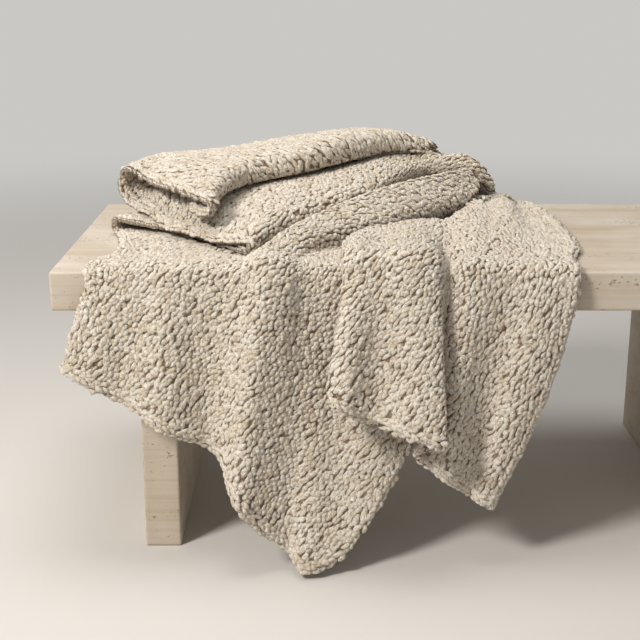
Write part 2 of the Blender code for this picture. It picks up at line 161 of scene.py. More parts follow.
# The stack folds back and forth on the bench. Each fold runs from the left
# selvedge to the right end: x and y of the fold's outer line, and the heights
# over the bench top of the layers that it joins, at the first seven ribs.
FOLDS = {
    "first back fold": {
        "x": (-0.352, -0.312, -0.178, -0.020, 0.118, 0.220, 0.270),
        "y": (0.262, 0.320, 0.442, 0.486, 0.500, 0.500, 0.490),
        "low": (0.0055, 0.0055, 0.0055, 0.0055, 0.008, 0.010, 0.010),
        "high": (0.027, 0.031, 0.039, 0.048, 0.062, 0.068, 0.040),
    },
    "first front fold": {
        "x": (-0.110, -0.065, -0.005, 0.084, 0.195, 0.282, 0.318),
        "y": (0.058, 0.120, 0.188, 0.272, 0.436, 0.430, 0.436),
        "low": (0.0165, 0.024, 0.036, 0.052, 0.072, 0.076, 0.030),
        "high": (0.0315, 0.058, 0.068, 0.082, 0.099, 0.102, 0.062),
    },
    "second back fold": {
        "x": (-0.348, -0.312, -0.190, -0.040, 0.085, 0.163, 0.216),
        "y": (0.335, 0.372, 0.425, 0.468, 0.492, 0.495, 0.488),
        "low": (0.043, 0.054, 0.071, 0.086, 0.093, 0.093, 0.091),
        "high": (0.104, 0.118, 0.122, 0.141, 0.150, 0.140, 0.111),
    },
    "second front fold": {
        "x": (-0.172, -0.158, -0.125, -0.020, 0.060, 0.130, 0.200),
        "y": (0.118, 0.195, 0.262, 0.305, 0.364, 0.422, 0.452),
        "low": (0.061, 0.0775, 0.084, 0.100, 0.113, 0.120, 0.112),
        "high": (0.082, 0.105, 0.119, 0.139, 0.149, 0.145, 0.127),
    },
}
STACK_RIBS = 7
TURN_POINTS = 5
# Each layer between two folds: where its places are, as shares of the way from
# fold to fold, and how far each stands over a straight line. Some ribs have
# their own heights: the upper layer's selvedge lies in a small arch, and inside
# the last fold that layer wells up and closes the fold's open end.
LAYERS = {
    "lower": ((0.50,), {"all": (-0.004,), 0: (-0.0065,)}),
    "upper": (
        (0.28, 0.48, 0.64, 0.82),
        {
            "all": (0.010, 0.009, 0.004, 0.001),
            0: (-0.0137, -0.0107, -0.0144, -0.003),
            1: (-0.002, 0.004, 0.015, 0.028),
            2: (0.008, 0.008, 0.003, 0.001),
            5: (-0.002, -0.004, -0.003, 0.000),
            6: (0.003, 0.003, 0.001, 0.000),
        },
    ),
    "top": ((0.20, 0.55), {"all": (0.002, 0.004), 0: (-0.005, -0.004)}),
}
# How far back each place of the selvedge lies from a straight line, layer by
# layer: the upper layer's selvedge hangs over the lower one's and hides it.
SELVEDGE_BACK = {"lower": (0.048,), "upper": (-0.008, -0.018, -0.020, -0.012), "top": (0.0, 0.0)}
# How far the bed's ribs bow back and left between the bench edge and the first
# back fold, which keeps them clear of the roll. The left ones bow the other way.
BED_BOW = (-0.022, -0.010, 0.000, 0.006, 0.012, 0.018, 0.024)
# The cloth's end is tucked into the last fold: its length, the most that may
# be of the fold's depth, and its rise.
TUCK_LENGTH = 0.045
TUCK_SHARE = 0.25
TUCK_RISE = 0.003

# How finely each stretch between two table places is divided.
RIB_STEPS = 4
HANG_STEPS = 10
EDGE_STEPS = 4
SHELF_STEPS = 8
LAYER_STEPS = 6
LOOP_STEPS = 2

# How much of the last stretch's turn a curve keeps at its ends. No handle is
# longer than HANDLE_LIMIT times the stretch on its other side, so that a long
# layer stays flat right up to a tight fold.
END_BEND = 0.6
HANDLE_LIMIT = 1.5
# The least lengths, areas and sums that are divided by.
LEAST_LENGTH = 1e-6
LEAST_AREA = 1e-8
LEAST_SUM = 1e-12


# ---- smooth curves ----
def curve_through(points, steps):
    """A smooth curve through points (n, k, 3), each stretch cut into its steps."""
    gaps = norm(np.diff(points, axis=0), axis=-1, keepdims=True)
    gaps = np.maximum(gaps, LEAST_LENGTH)
    slopes = np.diff(points, axis=0) / gaps
    tangents = np.empty_like(points)
    tangents[1:-1] = (slopes[:-1] * gaps[1:] + slopes[1:] * gaps[:-1]) / (gaps[1:] + gaps[:-1])
    tangents[0] = END_BEND * (slopes[0] - tangents[1]) + slopes[0]
    tangents[-1] = END_BEND * (slopes[-1] - tangents[-2]) + slopes[-1]
    rows = []
    for start in range(len(points) - 1):
        before = gaps[max(start - 1, 0)]
        after = gaps[min(start + 1, len(gaps) - 1)]
        leave = np.minimum(gaps[start], HANDLE_LIMIT * before) * tangents[start]
        arrive = np.minimum(gaps[start], HANDLE_LIMIT * after) * tangents[start + 1]
        for t in np.arange(steps[start]) / steps[start]:
            rows.append(
                (2 * t**3 - 3 * t**2 + 1) * points[start]
                + (t**3 - 2 * t**2 + t) * leave
                + (3 * t**2 - 2 * t**3) * points[start + 1]
                + (t**3 - t**2) * arrive
            )
    rows.append(points[-1])
    return np.array(rows)


# ---- the places that one rib runs through ----
def hang_points(row):
    """Hem, half-way up, the bench edge, its corner, the hump and where it lies flat."""
    edge_x, edge_out, lift, middle_x, middle_out, hem_x, hem_out, hem_z = row
    edge_z = BENCH_HEIGHT - EDGE_DROP + lift / 2
    top = BED + lift
    hem = np.array((hem_x, -hem_out, hem_z))
    middle = np.array((middle_x, -middle_out, (hem_z + edge_z) / 2))
    edge = np.array((edge_x, -edge_out, edge_z))
    corner = np.array((edge_x, -edge_out * CORNER_SHARE, top - CORNER_DROP))
    lip = np.array((edge_x + LIP_ASIDE / 2, LIP_BACK, top + LIP_RISE))
    flat = np.array((edge_x + LIP_ASIDE, FLAT_BACK, top + FLAT_RISE))
    return [hem, middle, edge, corner, lip, flat]


def shelf_points(places):
    """The places of one rib past the stack, on the bench top."""
    return [np.array((x, y, BENCH_HEIGHT + height)) for x, y, height in places]


def fold_point(fold, rib, layer=None):
    """A place on a fold's line, on its low or its high layer or half-way between."""
    table = FOLDS[fold]
    middle = (table["low"][rib] + table["high"][rib]) / 2
    height = table[layer][rib] if layer else middle
    return np.array((table["x"][rib], table["y"][rib], BENCH_HEIGHT + height))


def turn(fold, facing, rib, first="low", second="high"):
    """A fold's half turn from its first layer to its second, open to the facing fold."""
    outer = fold_point(fold, rib)
    inward = (fold_point(facing, rib) - outer) * (1, 1, 0)
    inward /= norm(inward)
    half = (fold_point(fold, rib, second) - fold_point(fold, rib, first)) / 2
    radius = abs(half[2])
    angles = np.linspace(0, np.pi, TURN_POINTS)
    return [outer + inward * radius * (1 - np.sin(a)) - half * np.cos(a) for a in angles]


def layer_points(layer, rib, start, end):
    """The places of one rib on a layer between two folds."""
    shares, heights = LAYERS[layer]
    rises = heights.get(rib, heights["all"])
    backs = SELVEDGE_BACK[layer] if rib == 0 else np.zeros(len(shares))
    asides = zip(shares, backs, rises)
    return [start + (end - start) * share + (0, back, rise) for share, back, rise in asides]


def stack_points(rib, start):
    """One rib of the stack, from start, where it first lies flat: its places on the
    bench, and those of the folded layers over them."""
    back1, front1, back2, front2 = FOLDS
    turn1 = turn(back1, front1, rib)
    turn2 = turn(front1, back1, rib)
    turn3 = turn(back2, front2, rib)
    turn4 = turn(front2, back2, rib, "high", "low")
    bow = np.array((-1.0, 1.0, 0.0)) * BED_BOW[rib]
    bed = [start + (turn1[0] - start) * share + bow for share in (1 / 3, 2 / 3)]
    lower = layer_points("lower", rib, turn1[-1], turn2[0])
    upper = layer_points("upper", rib, turn2[-1], turn3[0])
    top = layer_points("top", rib, turn3[-1], turn4[0])
    depth = (fold_point(back2, rib) - fold_point(front2, rib)) * (1, 1, 0)
    share = min(TUCK_LENGTH / norm(depth), TUCK_SHARE)
    tuck = [turn4[-1] + depth * share + (0, 0, TUCK_RISE)]
    return bed + turn1[:1], turn1[1:] + lower + turn2 + upper + turn3 + top + turn4 + tuck


# ---- the sheet ----
def blanket_grid():
    """The middle surface as grids of points, by rib and row: all ribs as far as
    the first back fold or their own end, and the folded stack after that."""
    front, stack = [], []
    for number, (name, row) in enumerate(HANG.items()):
        hang = hang_points(row)
        if number < STACK_RIBS:
            bed, folded = stack_points(number, hang[-1])
            front.append(hang + bed)
            stack.append(hang + bed + folded)
        else:
            front.append(hang + shelf_points(SHELF[name]))
    down = (HANG_STEPS,) * 2 + (EDGE_STEPS,) * 3 + (SHELF_STEPS,) * 3
    loop, layer = (LOOP_STEPS,) * (TURN_POINTS - 1), (LAYER_STEPS,)
    folded_down = loop + layer * 2 + loop + layer * 5 + loop + layer * 3 + loop + layer
    front = curve_through(np.array(front).transpose(1, 0, 2), down)
    stack = curve_through(np.array(stack).transpose(1, 0, 2), down + folded_down)
    front_rows = len(front)
    across = (RIB_STEPS,) * (len(HANG) - 1)
    front = curve_through(front.transpose(1, 0, 2), across)
    stack = curve_through(stack[front_rows:].transpose(1, 0, 2), across[: STACK_RIBS - 1])
    return front, stack


def sheet_faces(front, stack):
    """The points of both grids, the faces between them as one open sheet, and the
    rib that each face starts at, counted in the tables' ribs."""
    ribs, rows = front.shape[:2]
    stack_ribs, stack_rows = stack.shape[:2]
    points = np.concatenate([front.reshape(-1, 3), stack.reshape(-1, 3)])

    def at(rib, row):
        if row < rows:
            return rib * rows + row
        return ribs * rows + rib * stack_rows + row - rows

    faces, face_ribs = [], []
    for rib in range(ribs - 1):
        last = rows + stack_rows if rib < stack_ribs - 1 else rows
        for row in range(last - 1):
            after = row + 1
            faces.append((at(rib, row), at(rib + 1, row), at(rib + 1, after), at(rib, after)))
            face_ribs.append(rib / RIB_STEPS)
    return points, np.array(faces), np.array(face_ribs)


# ---- directions and areas on it ----
def unit(vectors):
    """Each vector, made one long."""
    lengths = norm(vectors, axis=-1, keepdims=True)
    return vectors / np.maximum(lengths, LEAST_SUM)


def cross2(a, b):
    return a[:, 0] * b[:, 1] - a[:, 1] * b[:, 0]


def split(faces):
    """Two triangles for each face with four corners."""
    return np.concatenate([faces[:, [0, 1, 2]], faces[:, [0, 2, 3]]])


def sides_of(corners):
    """Each triangle's sides from its first corner to its second and to its third."""
    return corners[:, 1] - corners[:, 0], corners[:, 2] - corners[:, 0]


def corner_shares(corners, spots):
    """How much of each flat triangle's corners goes into the spot that lies in it."""
    to_second, to_third = sides_of(corners)
    to_spot = spots - corners[:, 0]
    whole = cross2(to_second, to_third)
    second = cross2(to_spot, to_third) / whole
    third = cross2(to_second, to_spot) / whole
    return np.stack([1 - second - third, second, third], axis=1)


def gathered(values, triangles, count):
    """For each of count points, the sum of the values of the triangles round it."""
    summed = np.zeros((count, *values.shape[1:]))
    for corner in triangles.T:
        np.add.at(summed, corner, values)
    return summed


def normals_of(points, triangles):
    """The smooth normal of the sheet at each point. It points to the outer side."""
    across = np.cross(*sides_of(points[triangles]))
    return unit(gathered(across, triangles, len(points)))


def stretch_of(points, flat, triangles):
    """For each point, the 3 by 2 matrix that takes a step on the flat sheet to
    the same step on the drape."""
    real_sides = np.stack(sides_of(points[triangles]), axis=-1)
    laid_sides = np.stack(sides_of(flat[triangles]), axis=-1)
    area = np.abs(np.linalg.det(laid_sides))
    sound = area > LEAST_AREA
    matrices = real_sides[sound] @ np.linalg.inv(laid_sides[sound])
    area = area[sound, None, None]
    summed = gathered(matrices * area, triangles[sound], len(points))
    weight = gathered(area, triangles[sound], len(points))
    return summed / np.maximum(weight, LEAST_SUM)


# ---- the sheet unrolled ----
def add_object(name, data):
    made = bpy.data.objects.new(name, data)
    bpy.context.scene.collection.objects.link(made)
    return made


def unwrapped(points, faces):
    """Each point's place in Blender's own unwrapping of the sheet."""
    mesh = bpy.data.meshes.new("unrolled")
    mesh.from_pydata(points.tolist(), [], faces.tolist())
    helper = add_object("unrolled", mesh)
    bpy.ops.object.select_all(action="DESELECT")
    bpy.context.view_layer.objects.active = helper
    helper.select_set(True)
    bpy.ops.object.mode_set(mode="EDIT")
    bpy.ops.mesh.select_all(action="SELECT")
    bpy.ops.uv.unwrap(method="MINIMUM_STRETCH", margin=0.0, correct_aspect=False)
    bpy.ops.object.mode_set(mode="OBJECT")
    corners = np.empty(len(mesh.loops) * 2, np.float32)
    mesh.uv_layers.active.data.foreach_get("uv", corners)
    owners = np.empty(len(mesh.loops), np.int32)
    mesh.loops.foreach_get("vertex_index", owners)
    flat = np.zeros((len(points), 2))
    flat[owners] = corners.reshape(-1, 2)
    bpy.data.objects.remove(helper)
    bpy.data.meshes.remove(mesh)
    return flat


def unroll(points, faces):
    """Each point's place on the sheet laid flat, outer side up, in metres."""
    flat = unwrapped(points, faces)
    triangles = split(faces)
    real_area = norm(np.cross(*sides_of(points[triangles])), axis=1).sum()
    laid_area = cross2(*sides_of(flat[triangles])).sum()
    if laid_area < 0:
        flat[:, 0] *= -1
    return flat * np.sqrt(real_area / abs(laid_area))


def upright(flat):
    """Turns the flat sheet so that its first rib, the left selvedge, runs straight up
    from the hem at the origin as far as the bench edge."""
    hem, edge = flat[0], flat[2 * HANG_STEPS]
    up = (edge - hem) / norm(edge - hem)
    turned = np.array(((up[1], -up[0]), (up[0], up[1])))
    return (flat - hem) @ turned.T


class Cloth:
    """The draped sheet: its middle surface, and the same sheet unrolled flat."""

    def __init__(self, origin):
        front, stack = blanket_grid()
        points, self.faces, self.face_ribs = sheet_faces(front, stack)
        self.points = points + origin
        self.triangles = split(self.faces)
        self.normals = normals_of(self.points, self.triangles)
        self.flat = upright(unroll(self.points, self.faces))
        self.stretch = stretch_of(self.points, self.flat, self.triangles)
        self.border = self.border_loop()
        self.edged = self.edge_shows(front.shape, stack.shape)
        laid = [(x, y, 0.0) for x, y in self.flat]
        self.flat_tree = BVHTree.FromPolygons(laid, self.triangles.tolist())

    def border_loop(self):
        """The sheet's border, as the numbers of its points in order."""
        edges = set()
        for face in self.faces.tolist():
            edges.update(zip(face, face[1:] + face[:1]))
        following = {a: b for a, b in edges if (b, a) not in edges}
        loop = [0]
        while following[loop[-1]] != loop[0]:
            loop.append(following[loop[-1]])
        return np.array(loop)

    def edge_shows(self, front_shape, stack_shape):
        """Which of the border's points lie on an edge of the real blanket. At the
        stack's right end and just past it the sheet only stops out of sight."""
        ribs, rows = front_shape[:2]
        in_stack = self.border >= ribs * rows
        front_rib = self.border // rows / RIB_STEPS
        hidden = (front_rib > STACK_RIBS - 1) & (front_rib < list(HANG).index(LAST_HIDDEN_END))
        far_end = self.border % rows == rows - 1
        stack_rib = (self.border - ribs * rows) // stack_shape[1] / RIB_STEPS
        return np.where(in_stack, stack_rib < STACK_RIBS - 1, ~(far_end & hidden))

    def carry(self, spots):
        """Carries spots on the flat sheet onto the drape. Gives which of them lie
        on the sheet, and for each of those its place, normal, stretch and rib."""
        found, faces, hits = [], [], []
        down = Vector((0, 0, -1))
        for number, (x, y) in enumerate(spots.tolist()):
            hit, _, face, _ = self.flat_tree.ray_cast(Vector((x, y, 1)), down)
            if hit is not None:
                found.append(number)
                faces.append(face)
                hits.append((hit.x, hit.y))
        corners = self.triangles[faces]
        shares = corner_shares(self.flat[corners], np.array(hits))
        places = np.einsum("nk,nkc->nc", shares, self.points[corners])
        normals = unit(np.einsum("nk,nkc->nc", shares, self.normals[corners]))
        stretch = np.einsum("nk,nkcd->ncd", shares, self.stretch[corners])
        ribs = self.face_ribs[np.array(faces) % len(self.faces)]
        return np.array(found), places, normals, stretch, ribs


# ---- the stitches' numbers ----
SEED = 11
# The strands' way on the flat sheet, in degrees from its width, and how far each
# stitch turns out of its strand.
GRAIN_ANGLE = 59.0
GRAIN_TWIST = 5.0
# How much further they turn at some ribs; it changes evenly in between.
GRAIN_TURNS = {
    "left selvedge": 4.0,
    "second ridge": 3.0,
    "great ridge": -2.0,
    "great valley": -5.0,
    "inner edge middle": -3.0,
    "hidden turn": -8.0,
    "flap left fold": -10.0,
    "flap right edge": -12.0,
    "right panel fold": 12.0,
    "right selvedge": 12.0,
}
# From stitch to stitch along a strand, and from strand to strand.
ROW_GAP = 0.0108
STITCH_GAP = 0.0058
# Each stitch shows as one plump grain of yarn. Its size; how far its middle stands
# over the sheet, and its ends dive under that; and how far behind its middle the
# dive starts, as a share of its half length.
GRAIN_LENGTH = 0.0172
GRAIN_WIDTH = 0.0084
GRAIN_DEPTH = 0.0056
GRAIN_RISE = 0.0022
GRAIN_DIVE = 0.0024
DIVE_BEHIND = 0.15
# Along it, t from -1 to 1, it is (1 - |t| ** ROUND_ENDS) ** ROUND_BODY thick.
ROUND_ENDS = 2.2
ROUND_BODY = 0.70
# Its rings of points along it, and how many sides each has.
RINGS = (-0.76, -0.28, 0.28, 0.76)
SIDES = 5
GRAIN_POINTS = SIDES * len(RINGS) + 2
GRAIN_TRIANGLES = 2 * SIDES * len(RINGS)
# The inner side, which shows little, is knitted this much more loosely, and this
# share of a stitch aside.
INNER_LOOSE = 1.20
INNER_SHIFT = 0.37
# How uneven it all is: the spread of the strands' starts, in stitches, and of the
# stitches' places, directions, in degrees, and sizes, which have limits; and of a
# grain's taper, bend and outline.
PHASE_SPREAD = 0.14
SPOT_SPREAD = 0.0010
ANGLE_SPREAD = 11.0
SIZE_SPREAD = 0.15
SIZE_LIMITS = (0.65, 1.4)
TAPER_SPREAD = 0.16
BEND_SPREAD = 0.16
ROUGH_SPREAD = 0.13
# The least and the most that the drape stretches a grain.
LENGTH_LIMITS = (0.8, 1.3)
WIDTH_LIMITS = (0.8, 1.25)

# Rows of longer grains bind the edge: how far in each row is, the height over the
# middle of the cloth (below it on the inner side), the shift along the row in
# grains, and the tilt to the edge in degrees.
BORDER_ROWS = (
    (0.0014, 0.0, 0.0, 16.0),
    (0.0070, 0.0032, 0.5, -18.0),
    (0.0070, -0.0032, 0.5, 18.0),
    (0.0136, 0.0028, 0.0, 18.0),
    (0.0136, -0.0028, 0.0, -18.0),
)
BORDER_GAP = 0.0112
BORDER_LENGTH = 0.0180
BORDER_WIDTH = 0.0092
BORDER_DEPTH = 0.0078
BORDER_DIVE = 0.0012
BORDER_SPOT_SPREAD = 0.08
BORDER_ANGLE_SPREAD = 6.0
BORDER_SIZE_SPREAD = 0.12
BORDER_SIZE_LIMITS = (0.75, 1.3)
# Other stitches keep this far from the marks along the edge, so many a step of it.
BORDER_MARGIN = 0.0150
BORDER_MARKS = 4

# A stitch is knitted only where it can be seen: nothing lies on it, and the way out
# is open in some direction that isn't nearly along the cloth.
COVER_START = 0.0045
COVER_REACH = 0.006
SIGHT_START = 0.007
SIGHT_REACH = 2.0
SIGHT_DIRECTIONS = 40
LEAST_FACING = 0.12
# The corners of each side of a box, as product() numbers them.
BOX_SIDES = ((0, 1, 3, 2), (4, 6, 7, 5), (0, 4, 5, 1), (2, 3, 7, 6), (0, 2, 6, 4), (1, 5, 7, 3))

# The most triangles in a piece, and how thick the sheet under the stitches is.
MOST_TRIANGLES = 190000
GROUND_THICK = 0.0026


# ---- where the stitches lie ----
def lattice(cloth, shift, loose, random):
    """The spots of the stitches on the flat sheet: strands side by side along the
    grain, each strand shifted along itself by its own share of a stitch."""
    angle = np.radians(GRAIN_ANGLE)
    along = np.array((np.cos(angle), np.sin(angle)))
    across = np.array((-along[1], along[0]))
    low, high = cloth.flat.min(axis=0), cloth.flat.max(axis=0)
    corners = np.array(list(product((low[0], high[0]), (low[1], high[1]))))
    rows = corners @ along / (ROW_GAP * loose)
    columns = corners @ across / (STITCH_GAP * loose)
    row, column = np.mgrid[
        int(rows.min()) - 1 : int(rows.max()) + 2,
        int(columns.min()) - 1 : int(columns.max()) + 2,
    ]
    strands = column.shape[1]
    phase = 0.5 * (np.arange(strands) % 2) + random.normal(0, PHASE_SPREAD, strands)
    u = ((row + phase + shift) * ROW_GAP * loose).ravel()
    v = ((column + shift) * STITCH_GAP * loose).ravel()
    return u[:, None] * along + v[:, None] * across


def away_from_border(cloth, spots):
    """Which spots on the flat sheet leave room for the border's own grains."""
    loop = cloth.flat[cloth.border]
    steps = np.roll(loop, -1, axis=0) - loop
    shares = np.arange(BORDER_MARKS) / BORDER_MARKS
    marks = np.concatenate([(loop + steps * share)[cloth.edged] for share in shares])
    tree = KDTree(len(marks))
    for number, (x, y) in enumerate(marks):
        tree.insert((x, y, 0), number)
    tree.balance()
    return np.array([tree.find((x, y, 0))[2] > BORDER_MARGIN for x, y in spots.tolist()])


def sphere_directions(count):
    """Directions spread evenly over a sphere, along a spiral."""
    number = np.arange(count) + 0.5
    height = 1 - 2 * number / count
    angle = np.pi * (1 + 5**0.5) * number
    level = np.sqrt(1 - height**2)
    return np.stack([level * np.cos(angle), level * np.sin(angle), height], axis=1)


def blocker_tree(cloth):
    """What can hide a stitch: the cloth itself and the bench."""
    points, faces = cloth.points.tolist(), cloth.faces.tolist()
    for node in BENCH_NODES:
        low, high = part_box(node)
        base = len(points)
        points += product((low.x, high.x), (low.y, high.y), (low.z, high.z))
        faces += [[base + corner for corner in side] for side in BOX_SIDES]
    return BVHTree.FromPolygons(points, faces)


def seen(places, outward, blockers):
    """Which places can be seen from anywhere, looking at their outward side."""
    directions = sphere_directions(SIGHT_DIRECTIONS)

    def is_open(start, way, reach):
        return blockers.ray_cast(start, Vector(way), reach)[0] is None

    def is_seen(place, out):
        if not is_open(Vector(place + out * COVER_START), out, COVER_REACH):
            return False
        start = Vector(place + out * SIGHT_START)
        ways = directions[directions @ out > LEAST_FACING]
        return any(is_open(start, way, SIGHT_REACH) for way in ways)

    return np.array([is_seen(place, out) for place, out in zip(places, outward)])


# ---- grains of yarn ----
def uneven(random, spread, limits, shape):
    """Sizes around 1."""
    return np.clip(random.normal(1, spread, shape), *limits)


def grain_template():
    """A grain of yarn: its points, as places along it from -1 to 1 and shares of the
    way round it, and its triangles."""
    along = np.concatenate([[-1.0], np.repeat(RINGS, SIDES), [1.0]])
    ring, side = np.mgrid[: len(RINGS), :SIDES]
    around = np.concatenate([[0.5], ((side + 0.5 * (ring % 2)) / SIDES).ravel(), [0.5]])
    faces = []
    for side in range(SIDES):
        after = (side + 1) % SIDES
        faces.append((0, 1 + after, 1 + side))
        for ring in range(len(RINGS) - 1):
            a, b = 1 + ring * SIDES + side, 1 + ring * SIDES + after
            c, d = a + SIDES, b + SIDES
            faces += [(a, b, d), (a, d, c)] if ring % 2 else [(a, b, c), (b, d, c)]
        faces.append((GRAIN_POINTS - 1, c, d))
    return along, around, np.array(faces)


def grains(places, normals, axes, size, rise, dive, random):
    """Plump grains as one set of points, triangles and yarn coordinates: along,
    around and tone. size is (n, 3): length, width and depth."""
    along, around, faces = grain_template()
    sideways = unit(np.cross(normals, axes))
    plump = (1 - np.abs(along) ** ROUND_ENDS) ** ROUND_BODY
    # The yarn coordinate's seam runs along the grain's hidden underside.
    angle = 2 * np.pi * around - np.pi / 2
    count = len(places)
    taper = random.normal(0, TAPER_SPREAD, (count, 1))
    bend = random.normal(0, BEND_SPREAD, (count, 1))
    rough = 1 + random.normal(0, ROUGH_SPREAD, (count, GRAIN_POINTS))
    radius = plump * (1 + taper * along) * rough
    length, width, depth = size[:, :1], size[:, 1:2], size[:, 2:3]
    u = length / 2 * along
    v = width / 2 * radius * np.cos(angle) + width * bend * (1 - along**2)
    dived = dive * np.clip(along + DIVE_BEHIND, -1, 1) ** 2
    w = depth / 2 * radius * np.sin(angle) + rise - dived
    points = places[:, None, :] + axes[:, None, :] * u[..., None]
    points = points + sideways[:, None, :] * v[..., None] + normals[:, None, :] * w[..., None]
    triangles = faces[None] + (np.arange(count) * GRAIN_POINTS)[:, None, None]
    yarn = np.empty((count, GRAIN_POINTS, 3))
    yarn[..., 0] = along
    yarn[..., 1] = around
    yarn[..., 2] = random.random(count)[:, None]
    return points.reshape(-1, 3), triangles.reshape(-1, 3), yarn.reshape(-1, 3)


def joined(sets):
    """Several sets of grains as one."""
    points, triangles, yarn = zip(*sets)
    bases = np.cumsum([0] + [len(part) for part in points[:-1]])
    triangles = [part + base for part, base in zip(triangles, bases)]
    return np.concatenate(points), np.concatenate(triangles), np.concatenate(yarn)


# ---- knitting ----
def grain_axes(stretch, ribs, random):
    """The way each grain runs on the drape, and how much the drape's stretch makes
    it longer and wider there."""
    turning_ribs = [list(HANG).index(name) for name in GRAIN_TURNS]
    turned = GRAIN_TWIST + np.interp(ribs, turning_ribs, list(GRAIN_TURNS.values()))
    turned = turned + random.normal(0, ANGLE_SPREAD, len(ribs))
    angle = np.radians(GRAIN_ANGLE + turned)
    along = np.stack([np.cos(angle), np.sin(angle)], axis=1)
    across = np.stack([-along[:, 1], along[:, 0]], axis=1)
    axes = np.einsum("ncd,nd->nc", stretch, along)
    wide = np.einsum("ncd,nd->nc", stretch, across)
    return unit(axes), norm(axes, axis=1), norm(wide, axis=1)


def knit_side(cloth, side, blockers, random):
    """The grains of one side of the sheet: 1 is its outer side, -1 its inner one."""
    loose = 1.0 if side > 0 else INNER_LOOSE
    spots = lattice(cloth, 0.0 if side > 0 else INNER_SHIFT, loose, random)
    spots += random.normal(0, SPOT_SPREAD, spots.shape)
    found, places, normals, stretch, ribs = cloth.carry(spots)
    outward = normals * side
    kept = away_from_border(cloth, spots[found])
    kept[kept] = seen(places[kept], outward[kept], blockers)
    places, outward, stretch, ribs = places[kept], outward[kept], stretch[kept], ribs[kept]
    axes, longer, wider = grain_axes(stretch, ribs, random)
    axes = unit(axes - outward * np.sum(axes * outward, axis=1, keepdims=True))
    count = len(places)
    thick = uneven(random, SIZE_SPREAD, SIZE_LIMITS, count)
    long = uneven(random, SIZE_SPREAD, SIZE_LIMITS, count)
    length = GRAIN_LENGTH * loose * np.clip(longer, *LENGTH_LIMITS) * long
    width = GRAIN_WIDTH * loose * np.clip(wider, *WIDTH_LIMITS) * thick
    size = np.stack([length, width, GRAIN_DEPTH * thick], axis=1)
    return grains(places, outward, axes, size, GRAIN_RISE, GRAIN_DIVE, random)


def border_grains(cloth, random):
    """Long grains along the real edges of the sheet: one row on the very edge, and
    two rows beside it on each side of the cloth."""
    places = cloth.points[cloth.border]
    ahead = np.roll(places, -1, axis=0)
    along = unit(ahead - np.roll(places, 1, axis=0))
    normals = cloth.normals[cloth.border]
    inward = np.cross(normals, along)
    reach = np.concatenate([[0], np.cumsum(norm(ahead - places, axis=1))])
    count = int(reach[-1] / BORDER_GAP)

    def along_border(at, values):
        closed = np.concatenate([values, values[:1]])
        return np.stack([np.interp(at, reach, closed[:, k]) for k in range(3)], axis=1)

    sets = []
    for inset, lift, phase, tilt in BORDER_ROWS:
        at = np.arange(count) + phase + random.normal(0, BORDER_SPOT_SPREAD, count)
        at = at % count * reach[-1] / count
        at = at[np.interp(at, reach[:-1], cloth.edged) > 0.5]
        within = along_border(at, inward)
        where = along_border(at, places) + within * inset
        out = along_border(at, normals) * (-1 if lift < 0 else 1)
        turned = np.radians(tilt + random.normal(0, BORDER_ANGLE_SPREAD, len(at)))[:, None]
        axes = unit(along_border(at, along) * np.cos(turned) + within * np.sin(turned))
        thick = uneven(random, BORDER_SIZE_SPREAD, BORDER_SIZE_LIMITS, (len(at), 1))
        size = np.hstack([BORDER_LENGTH * thick**0.5, BORDER_WIDTH * thick, BORDER_DEPTH * thick])
        sets.append(grains(where, out, axes, size, abs(lift), BORDER_DIVE, random))
    return joined(sets)


# ---- materials ----
WHITE = (1.0, 1.0, 1.0)
# Colours for values from 0 to 1, changing evenly in between.
WOOL_TONES = (
    (0.00, (0.72, 0.61, 0.47)),
    (0.08, (0.81, 0.72, 0.59)),
    (0.35, (0.86, 0.78, 0.66)),
    (0.80, (0.88, 0.81, 0.70)),
    (1.00, (0.90, 0.84, 0.75)),
)
WOOL_STREAKS = ((0.34, (0.50, 0.40, 0.30)), (0.50, WHITE))
WOOL_PATCHES = ((0.30, (0.86, 0.79, 0.69)), (0.55, WHITE))
# Painted shade: darkens the grains low on their flanks and at their ends, deep between their
# neighbours.
WOOL_PAINTED_SHADE = ((0.50, (0.20, 0.13, 0.08)), (0.66, WHITE))
# Painted shade: the yarn in the gaps between the stitches, coloured as dark as it looks in shade.
GAP_PAINTED_SHADE = ((0.3, (0.13, 0.085, 0.052)), (0.7, (0.34, 0.26, 0.18)))
STONE_TONES = ((0.30, (0.50, 0.42, 0.33)), (0.50, (0.56, 0.49, 0.405)), (0.72, (0.63, 0.57, 0.49)))
STONE_LAYERS = ((0.34, (0.80, 0.70, 0.58)), (0.52, WHITE))
STONE_PITS = ((0.90, WHITE), (0.94, (0.52, 0.39, 0.28)), (1.0, (0.38, 0.27, 0.19)))


